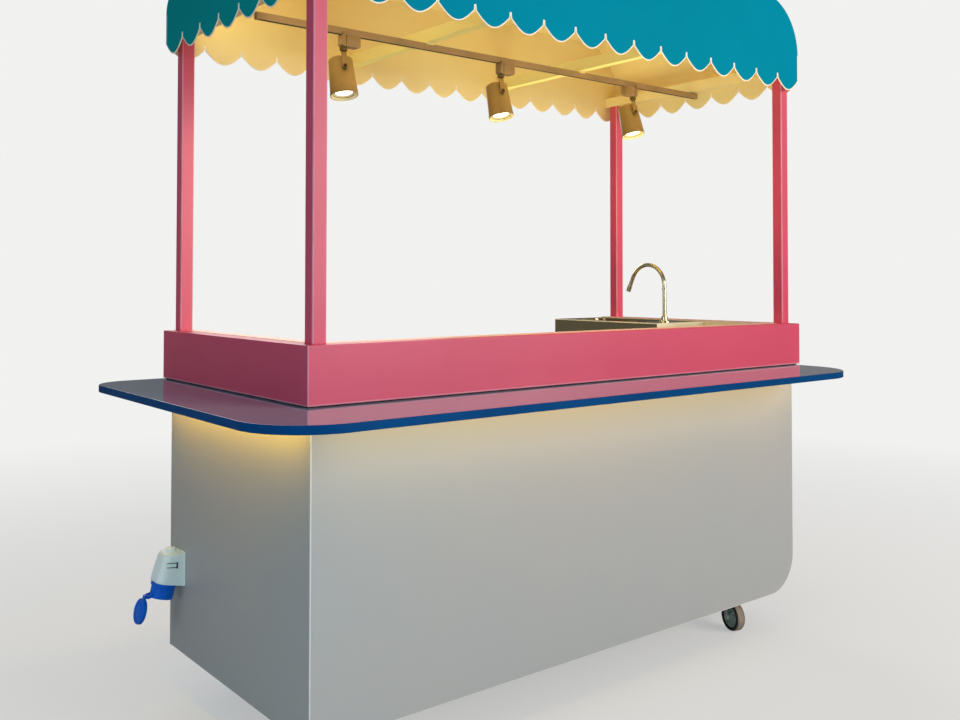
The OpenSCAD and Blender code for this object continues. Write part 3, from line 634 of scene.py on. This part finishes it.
# ---- Posts ----
# Four 40 mm square tubes with softly rolled corners, welded upright on the middle of the upstand's
# rim and coated in the same pink powder.
post_side, post_height = 40, 915
post_outline = rounded_box(0, 0, post_side, post_side, [3.5] * 4, 4)
weld_outline = rounded_box(-1.2, -1.2, post_side + 1.2, post_side + 1.2, [4.5] * 4, 4)
# The tubes' rounded corners take the paler pink as a painted highlight.
highlight_corners = lambda k, i: 1 if i % 5 != 4 else 0
for name, x, y in (("post_front_left", 7, 7), ("post_front_right", 1953, 7),
                   ("post_back_left", 7, 828), ("post_back_right", 1953, 828)):
    on_rim = lambda u, v, w, x=x, y=y: (x + u, y + v, rim_height + w)
    tube = slab(post_outline, post_height, on_rim, 0.3, 1, highlight_corners)
    weld = slab(weld_outline, 2.6, lambda u, v, w, f=on_rim: f(u, v, w - 0.4), 1.0, 3)
    piece(name + "_dressed", [tube, weld], [powder_pink, highlight_pink], "kiosk", [name])

# ---- Canopy frame ----
# Rectangular steel tube in warm cream paint: a rail over the posts at each end and two bars across,
# welded between the fascias and hidden from outside by the canopy's sheets.
cream = coat("canopy_cream_paint", (250, 230, 178), (244, 216, 154), (1.8, 0.8), (0.5, 0.1), 300.0,
             relief=0.05, depth=0.0006)
bar_cream = coat("bar_cream_paint", (250, 234, 164), (246, 224, 148), (4.0, 0.6), (0.8, 0.1), 400.0,
                 relief=0.05, depth=0.0006, Specular_IOR_Level=0.05)
for name in ("left_rail", "right_rail"):
    dress(name, cream)
dress("cross_bars", bar_cream)

# ---- Canopy ----
# Sheets 3 mm thick, teal outside and cream inside: two fascias with 16 scallops, and one sheet that
# runs up each end with 7 scallops, round both bends and over the top. Their scalloped edges have a pale band.
teal = coat("canopy_teal_paint", (0, 138, 166), (0, 128, 154), (1.4, 0.7), (0.5, 0.12), 320.0,
            relief=0.05, depth=0.0006, Specular_IOR_Level=0.008)
# The end sheet's teal is the fascias' teal tinted greener and lighter: painted light, for how the light falls
# on the ends and the roof.
teal_end = coat("canopy_teal_ends_painted_light", (0, 142, 146), (0, 134, 138), (1.4, 0.7), (0.5, 0.12), 320.0,
                relief=0.05, depth=0.0006, Specular_IOR_Level=0.008)
pale_band_finish = coat("canopy_pale_band", (255, 244, 224), (250, 232, 200), (25.0, 0.6), (0.55, 0.1), 700.0,
                relief=0.05, depth=0.0004)
sheets = [teal, cream, pale_band_finish]
end_sheets = [teal_end, cream, pale_band_finish]
canopy_length, canopy_depth, canopy_out = 2040, 915, 20
cusp_height, scallop_drop, slot_half, slot_foot, slot_tip = 1985, 39, 1.84, -1.77, 12.5
sheet_thick, pale_width, bend_radius, bend_rise, side_gap = 3, 3.4, 200, 94, 3.2


def scallops(length, count):
    """Lower edge of a side from end to end: half sine waves, with a narrowing slot above each cusp."""
    pitch = length / count
    edge = []
    for n in range(count):
        first, last = n == 0, n == count - 1
        edge.append((0, 0) if first else (n * pitch + slot_half, slot_foot))
        edge += [((n + s / 16) * pitch, -scallop_drop * math.sin(math.pi * s / 16)) for s in range(1, 16)]
        edge.append((length, 0) if last else ((n + 1) * pitch - slot_half, slot_foot))
        if not last:
            edge += [((n + 1) * pitch - 0.4, slot_tip), ((n + 1) * pitch + 0.4, slot_tip)]
    return edge


def banded_sheet(outline, pale, place):
    """A painted sheet, teal outside and cream inside. Its first pale sides get a thin pale band."""
    half = [(pale_width, 0), (0.5, 0.15), (0, 0.6)]
    rims = half + [(d, sheet_thick - w) for d, w in reversed(half)]
    loops = [[place(u, v, w) for u, v in inset(outline, d)] for d, w in rims]

    def kinds(k, i):
        if k in (-1, 5):
            return 0 if k == -1 else 1
        return 2 if i < pale else 1 if k == 4 else 0

    return shell(loops, kinds)


long_edge = scallops(canopy_length, 16)
crest = [(middle + u, bend_rise + v) for middle, start in ((canopy_length - bend_radius, 0), (bend_radius, 90))
         for u, v in (around(bend_radius, a) for a in range(start, start + 91, 3))]
fascia = long_edge + crest
canopy_back = canopy_depth - canopy_out
front = banded_sheet(fascia, len(long_edge), lambda u, v, w: (u - canopy_out, w - canopy_out, cusp_height + v))
back = banded_sheet(fascia, len(long_edge), lambda u, v, w: (u - canopy_out, canopy_back - w, cusp_height + v))
piece("front_fascia_dressed", [front], sheets, "kiosk", ["front_fascia"])
piece("back_fascia_dressed", [back], sheets, "kiosk", ["back_fascia"])

end_width, end_top, corner_drop = canopy_depth - side_gap, 94.6, -3
short_edge = [(u, v) for u, v in scallops(canopy_depth, 7) if side_gap + 0.8 < u < end_width - 0.8]
short_edge = [(side_gap, corner_drop)] + short_edge + [(end_width, corner_drop)]
end_shape = short_edge + [(end_width, end_top), (side_gap, end_top)]
left_end = banded_sheet(end_shape, len(short_edge),
                   lambda u, v, w: (w - canopy_out, u - canopy_out, cusp_height + v))
right_end = banded_sheet(end_shape, len(short_edge),
                    lambda u, v, w: (body_length + canopy_out - w, u - canopy_out, cusp_height + v))


def over(radius_cut):
    """Section of the roof sheet from the left end's foot to the right end's, at a depth in the sheet."""
    r, middle = bend_radius - radius_cut, cusp_height + bend_rise
    left, right = bend_radius - canopy_out, body_length + canopy_out - bend_radius
    quarter = [around(r, a) for a in range(0, 91, 3)]
    return [(left - u, middle + v) for u, v in quarter] + [(right + v, middle + u) for u, v in quarter]


roof_out, roof_in = over(0), over(sheet_thick)
roof_loops = [[(x, y, z) for x, z in roof_out] + [(x, y, z) for x, z in reversed(roof_in)]
              for y in (side_gap - canopy_out, canopy_back - side_gap)]
span = len(roof_out)
roof_points, roof_faces, roof_kinds = shell(
    roof_loops, lambda k, i: 1 if span <= i < 2 * span - 1 else 0, (False, False))
for start in (0, 2 * span):
    for i in range(span - 1):
        roof_faces.append((start + i, start + i + 1, start + 2 * span - 2 - i, start + 2 * span - 1 - i))
        roof_kinds.append(0)
piece("roof_and_ends_dressed", [left_end, right_end, (roof_points, roof_faces, roof_kinds)], end_sheets,
      "kiosk", ["left_valance", "right_valance", "roof_sheet"])

# ---- Track and spotlights ----
# An aluminium track with a slot below hangs under the bars. Each spotlight clips in with a box
# adapter, and a flat arm on a round collar holds its cone-shaped head by one screw.
track_bronze = coat("track_anodised", (186, 154, 114), (160, 130, 94), (8.0, 0.7), (0.42, 0.12), 800.0,
                    relief=0.05, depth=0.0003, Metallic=0.2)
# The adapters' paint is a lighter copy of the heads' paint: partly their own colour, close to the track's, and
# partly painted light on faces that little lamp light reaches.
adapter_paint = coat("adapter_paint", (176, 140, 92), (152, 118, 74), (20.0, 0.7), (0.4, 0.12), 900.0,
                     relief=0.06, depth=0.0003, Metallic=0.1)
head_paint = coat("spotlight_paint", (114, 95, 53), (98, 79, 42), (14.0, 0.7), (0.34, 0.12), 900.0,
                  relief=0.06, depth=0.0003, Metallic=0.25)
dark_screw_and_slot_shade = coat("spotlight_screw_and_slot_shade", (46, 32, 22), (70, 50, 34), (120.0, 0.6), (0.45, 0.1), 1500.0,
                  Metallic=0.6)
reflector = coat("spotlight_reflector", (252, 236, 180), (246, 222, 150), (60.0, 0.6), (0.3, 0.1),
                 900.0, Metallic=0.1)
lens_glow = glowing("spotlight_lens", (1.0, 0.97, 0.88, 1), (1.0, 0.93, 0.78, 1), 220.0, 3.5)

track_y, track_foot, track_start, track_length = 430, 1982, 58, 1937
channel_section = [(-8, 0), (-4, 0), (-4, 2), (-6, 2), (-6, 18), (6, 18), (6, 2), (4, 2), (4, 0), (8, 0),
                   (8, 20), (-8, 20)]
cap_section = rounded_box(-7.8, 0.2, 7.8, 19.8, [2, 2, 0.5, 0.5], 3)
clamp_section = [(-9.2, 17), (-8, 17), (-8, 20), (8, 20), (8, 17), (9.2, 17), (9.2, 23.9), (-9.2, 23.9)]
track = []
# The faces inside the track's slot take the dark screw material: painted shade in the slot.
for section, x, run, edge, kind in (
        (channel_section, track_start, track_length, 0.4, lambda k, i: 2 if 1 <= i <= 7 else 0),
        (cap_section, track_start, 6, 0.8, 0), (cap_section, 1988.8, 6, 0.8, 0),
        (clamp_section, 645, 30, 0.4, 1), (clamp_section, 1325, 30, 0.4, 1)):
    track.append(slab(section, run, lambda u, v, w, x=x: (x + w, track_y + u, track_foot + v), edge, 2, kind))
piece("light_track_dressed", track, [track_bronze, bar_cream, dark_screw_and_slot_shade], "kiosk",
      ["light_track"])

spotlights = [(345, 12, 1), (961, 14, 1), (1619, 15, -1)]  # x of the stem, lean, side of the adapter
adapter_foot, stem_foot, arm_drop, head_out, head_drop = 1946, 1935, 48, 46.585, 126
twist_cos, twist_sin = around(1, -17)
adapter_box = rounded_box(-32, 0, 32, 35.8, [8, 8, 1.5, 1.5], 5)
lever = rounded_box(-3, -6, 3, 9, [1.5] * 4, 3)
seam = rounded_box(-0.8, 1, 0.8, 35, [0.5] * 4, 1)
collar = [(9.5, -1), (11.4, 0), (12, 1), (12, 8), (11, 9.6), (10.6, 10.7)]
arm_outline = [(u, v - arm_drop) for u, v in (around(8, a) for a in range(180, 361, 15))]
arm_outline += [(8, -4), (6, 1.5), (-6, 1.5), (-8, -4)]
screw = [(5.6, 1.6), (5.6, 3.4), (4.8, 4.2), (2.2, 4.3), (1.8, 3.0)]
cone = [(34.6, 6.4), (38, 2.2), (39.4, 0.7), (41, 0), (42.4, 0.4), (43, 1.6), (42.5, 10.6), (41.9, 11.2),
        (42.2, 12), (38.6, 82), (38.1, 82.6), (38.3, 83.4), (37, 112.4), (36.4, 114.4), (35, 116.2),
        (27.8, 121.8), (26, 122.8), (24, 123), (22.6, 122.2), (21.6, 122.2)]
mouth = [([(34.8, 6.3), (33.6, 7.6)], 72, 3, False),
         ([(33.7, 7.5), (30.4, 11.2), (28.2, 12.4)], 72, 1, False),
         ([(28.4, 12.3), (26.6, 12.4), (26, 10.8)], 72, 3, False),
         ([(26.2, 10.9), (25, 10.3), (14, 9.8), (0.5, 9.6)], 48, 2, True)]
adapters = []
for number, (sx, lean, side) in enumerate(spotlights, 1):
    for outline, x, y, z, thick, edge, steps, kind in (
            (adapter_box, sx + side * 20, 416, adapter_foot, 28, 1.6, 3, 0),
            (lever, sx - side * 7, 413.5, 1980, 5, 0.8, 2, 0),
            (seam, sx + side * 2, 415.5, adapter_foot, 1.0, 0.2, 1, 1)):
        on_adapter = lambda u, v, w, x=x, y=y, z=z: (x + u, y + w, z + v)
        adapters.append(slab(outline, thick, on_adapter, edge, steps, kind))

    tilt_cos, tilt_sin = around(1, lean)

    def hang(u, v, w, x=sx, c=tilt_cos, s=tilt_sin):
        """The head's own directions, swivelled about the stem and leant out."""
        swivelled = u * twist_sin + v * twist_cos
        return (x + u * twist_cos - v * twist_sin, track_y + swivelled * c + w * s,
                stem_foot - swivelled * s + w * c)

    stem = lambda u, v, w, x=sx: (x + u, track_y + v, stem_foot + w)
    pivot = lambda u, v, w, f=hang: f(u, -w, v - arm_drop)
    arm = [lathe(collar, stem, 40), slab(arm_outline, 4, lambda u, v, w, f=hang: f(u, w - 2, v), 0.7, 3),
           lathe(screw, pivot, 28, 1)]
    piece("spot_arm_dressed_%d" % number, arm, [head_paint, dark_screw_and_slot_shade], "spot_arm_%d" % number,
          ["spot_arm_%d" % number])

    can = lambda u, v, w, f=hang: f(u, head_out + v, w - head_drop)
    boss = lambda u, v, w, f=hang: f(u, 2.3 + w, v - arm_drop)
    head = [lathe(cone, can, 72, lambda k, i: 1 if 0 <= k <= 3 else 0, (False, True))]
    head += [lathe(ring, can, count, kind, (False, closed)) for ring, count, kind, closed in mouth]
    head.append(lathe([(9, 0), (9, 5.4), (10.5, 8.6)], boss, 32))
    piece("spot_head_dressed_%d" % number, head, [head_paint, reflector, lens_glow, dark_screw_and_slot_shade],
          "spot_head_%d" % number, ["spot_head_%d" % number])
piece("track_adapters_dressed", adapters, [adapter_paint, dark_screw_and_slot_shade], "kiosk",
      ["track_adapters"])

# ---- Sink and tap ----
# One folded and welded stainless unit: a deck with a deep bowl and a drain, on walls that stand on
# the worktop. The chrome tap's bent spout turns in a slim base on the deck.
# The sink's stainless is tinted warm: a painted reflection of the lit cream canopy.
sink_steel = finish_of(
    "sink_stainless", brushed,
    {"Colour": hue(200, 184, 146), "Line": hue(160, 142, 100), "Stretch": (260, 4, 260), "Roughness": 0.22,
     "Gloss Spread": 0.18}, relief=0.05, depth=0.0003, Metallic=1.0)
corner, worktop_top, deck_top = 10, 944.2, 1089
deck = rounded_box(1650, 340, 1926, 895, [2.5] * 4, corner)
bowl = rounded_box(1682, 470, 1894, 863, [40] * 4, corner)
sink_rings = [(inset(outline, depth), height) for outline, depth, height in (
    (deck, 0, worktop_top), (deck, 0, 1085), (deck, 0.6, 1087.2), (deck, 2.4, deck_top), (bowl, -5, deck_top),
    (bowl, -2, 1088.5), (bowl, -0.4, 1086.6), (bowl, 0, 1082), (bowl, 0, 987), (bowl, 2.5, 978),
    (bowl, 9, 972), (bowl, 18, 969.8))]
sink_rings += [(circle(radius, len(deck), 1788, 666.5), height) for radius, height in (
    (31, 969), (29, 967.4), (23, 966.8), (22.2, 965), (22, 962))]
# The deck's top bevel and its front wall take the brighter lining steel as a painted highlight.
sink = shell([[(u, v, height) for u, v in ring] for ring, height in sink_rings],
             lambda k, i: 1 if k in (1, 2) or (k == 0 and i <= corner) else 0)
piece("sink_dressed", [sink], [sink_steel, lining_steel_painted_light], "kiosk", ["sink_unit"])

# The chrome is tinted warm yellow: a painted reflection of the lit cream canopy.
chrome = coat("tap_chrome", (252, 240, 192), (238, 224, 176), (30.0, 0.4), (0.17, 0.05), 500.0,
              Metallic=1.0)
tap_x, tap_y, tube_radius = 1750, 390, 7.5
bend_out, bend_height, tip_out, tip_height = 84, 136.3, 160.13, 171.8
tip_cos, tip_sin, tip_run = 0.42262, 0.90631, 59
tap_foot = lambda u, v, w: (tap_x + u, tap_y + v, deck_top + w)
base = lathe([(21.5, 0), (21.5, 3), (20.6, 4.6), (19, 5.2), (14, 5.6), (12.6, 7), (12.4, 19.5),
              (11.8, 21.4), (10.4, 22)], tap_foot, 48)
piece("tap_base_dressed", [base], [chrome], "kiosk", ["tap_base"])
spout = [(0, 22.3), (0, 134)]
spout += [(bend_out - u, bend_height + v) for u, v in (around(bend_out, a) for a in range(5, 156, 5))]
spout.append((tip_out + tip_run * tip_cos, tip_height - tip_run * tip_sin))
spout_loops = []
for n, (v, w) in enumerate(spout):
    before, after = spout[max(n - 1, 0)], spout[min(n + 1, len(spout) - 1)]
    run = Vector((0, after[0] - before[0], after[1] - before[1])).normalized()
    out = run.cross(Vector((1, 0, 0)))
    spout_loops.append([tap_foot(tube_radius * a, v + tube_radius * b * out.y, w + tube_radius * b * out.z)
                        for a, b in circle(1, 24)])
nozzle_at = lambda u, v, w: tap_foot(
    u, tip_out + v * tip_sin + w * tip_cos, tip_height + v * tip_cos - w * tip_sin)
nozzle = lathe([(7.4, 34), (8.8, 34.8), (9, 36.4), (9, 58.6), (8.4, 59.8), (6.8, 60), (6.4, 57), (0.6, 57)],
               nozzle_at, 32)
tap_collar = lathe([(7.4, 124), (9, 124.8), (9, 130), (7.4, 130.8)], tap_foot, 32, 0, (False, False))
piece("tap_spout_dressed", [shell(spout_loops), nozzle, tap_collar], [chrome], "tap_spout",
      ["tap_spout"])

# ---- Power inlet ----
# A moulded grey housing screwed to the left end board. From its slanted foot a blue socket points
# down and out, with three pins inside and a hinged blue lid that hangs open.
# The housing's grey is raised to a pale blue-white: painted cool light on the shaded left end.
inlet_grey = coat("inlet_grey_plastic", (236, 252, 255), (224, 242, 246), (12.0, 0.6), (0.45, 0.1),
                  900.0, relief=0.12, depth=0.0003)
inlet_dark = coat("inlet_dark_mark", (48, 50, 54), (60, 60, 62), (90.0, 0.5), (0.5, 0.1), 1200.0)
inlet_blue = coat("inlet_blue_plastic", (0, 108, 226), (0, 90, 196), (20.0, 0.7), (0.36, 0.12), 1100.0,
                  relief=0.12, depth=0.0003, Specular_IOR_Level=0.2)
pin_brass = coat("inlet_pin", (214, 190, 130), (190, 160, 100), (120.0, 0.5), (0.3, 0.1), 1500.0,
                 Metallic=1.0)

inlet_y, inlet_half, slant = 800, 42, math.radians(13)
slope, slant_sin, slant_cos = math.tan(slant), math.sin(slant), math.cos(slant)


def housing_loop(reach, low, rise, trim):
    """Section of the housing at a height, rounded at its two outer corners; rise lifts it outwards."""
    outline = rounded_box(trim - reach, inlet_y - inlet_half + trim, -0.4, inlet_y + inlet_half - trim,
                          [24 - trim, 1, 1, 24 - trim], 8)
    return [(u, v, low - rise * u) for u, v in outline]


housing = [shell([housing_loop(*section) for section in (
    (80.5, 329.4, slope, 2.2), (81.6, 330, slope, 0.8), (82, 331.8, slope, 0), (70.6, 381, slope * 0.4, 0),
    (60, 417, 0, 0), (58, 423, 0, 0.8), (55, 427, 0, 2.6), (50, 429, 0, 6))])]
plug = lambda u, v, w: (u - 27, inlet_y + v, 428 + w)
plug_section = [(15, 0), (15, 9.6), (14.2, 11.8), (12, 13), (4, 13.2), (3.4, 12.4), (0.6, 12.4)]
housing.append(lathe(plug_section, plug, 40))
flange_outline = rounded_box(inlet_y - 44.5, 331, inlet_y + 44.5, 431.5, [6] * 4, 4)
housing.append(slab(flange_outline, 3, lambda u, v, w: (w - 3.2, u, v), 0.8, 2))
for mark in ([(-57, 405.9), (-26, 401.5), (-26, 404.5), (-57, 407.5)],
             [(-57, 392.9), (-26, 388.5), (-26, 391.5), (-57, 394.5)],
             [(-27.5, 387), (-22.5, 386.5), (-22, 405), (-27, 405.5)]):
    housing.append(slab(mark, 0.9, lambda u, v, w: (u, inlet_y - inlet_half - 0.7 + w, v), 0.3, 1, 1))
piece("inlet_housing_dressed", housing, [inlet_grey, inlet_dark], "kiosk", ["inlet_housing"])

socket_out, socket_foot = 48, 329
socket = lambda a, b, u: (-socket_out - a * slant_cos - u * slant_sin, inlet_y + b,
                          socket_foot + slope * socket_out + a * slant_sin - u * slant_cos)
cup = lathe([(37, 0.3), (38, 1.2), (38, 6.8), (37, 8), (34.2, 8.4), (33.6, 10), (33.6, 36), (34, 37),
             (34, 43), (33.4, 44), (31.4, 44), (31, 43), (31, 11), (30, 10), (0.6, 10)], socket, 64)
ear = [(32, 32), (46, 38), (47, 44), (45.6, 47.2), (42, 48), (38.4, 46.6), (32, 43)]
ears = [slab(ear, 4, lambda u, v, w, s=s: socket(u, s * 10.5 - 2 + w, v), 0.8, 2) for s in (-1, 1)]
pins = []
for a in (90, 210, 330):
    px, py = around(15, a)
    pins.append(lathe([(3.4, 9), (3.4, 31), (2.6, 33), (0.8, 33.6)],
                      lambda u, v, w, px=px, py=py: socket(px + u, py + v, w), 20, 1))
ribs = []
rib = rounded_box(33, -1.4, 34.4, 1.4, [0.4] * 4, 2)
for a in range(-60, 241, 30):
    c, s = around(1, a)
    ribs.append(slab(rib, 24, lambda u, v, w, c=c, s=s: socket(u * c - v * s, u * s + v * c, 10 + w), 0.4, 1))
piece("inlet_socket_dressed", [cup] + ears + pins + ribs, [inlet_blue, pin_brass], "kiosk",
      ["inlet_socket"])

hinge_out, hinge_along = 42, 44
open_cos, open_sin = around(1, 92)


def lid_place(u, v, w):
    """Lid drawn shut about the hinge's axis, then turned open: u out from the socket's axis, w along it."""
    a, t = u - hinge_out, w - hinge_along
    return socket(hinge_out + a * open_cos + t * open_sin, v, hinge_along - a * open_sin + t * open_cos)


lid_cap = [(33.4, 49.3), (36, 49), (37, 50), (37, 56.4), (36.2, 58.6), (34.4, 59.8), (32.6, 59.6), (31, 58),
           (29.6, 56.6), (24, 56.2), (20, 57.4), (17.4, 60), (14, 60.9), (0.6, 61)]
lid_seal = [(33.4, 49.3), (32.6, 50.6), (32, 53.4), (28, 54.2), (0.6, 54.4)]
lid = [lathe(lid_cap, lid_place, 56, 0, (False, True)), lathe(lid_seal, lid_place, 56, 1, (False, True))]
for strap, start, run in ((rounded_box(30, -8, 46.4, 8, [1.5] * 4, 3), 49, 6),
                          (rounded_box(37.4, -8, 46.8, 8, [1.2] * 4, 3), 42, 11)):
    lid.append(slab(strap, run, lambda u, v, w: lid_place(u, v, start + w), 0.8, 2))
knuckle = lambda u, v, w: lid_place(hinge_out + u, w, hinge_along + v)
lid.append(lathe([(3.6, -8), (4.8, -7.4), (4.8, 7.4), (3.6, 8)], knuckle, 28))
piece("inlet_lid_dressed", lid, [inlet_blue, inlet_dark], "inlet_lid", ["inlet_lid"])
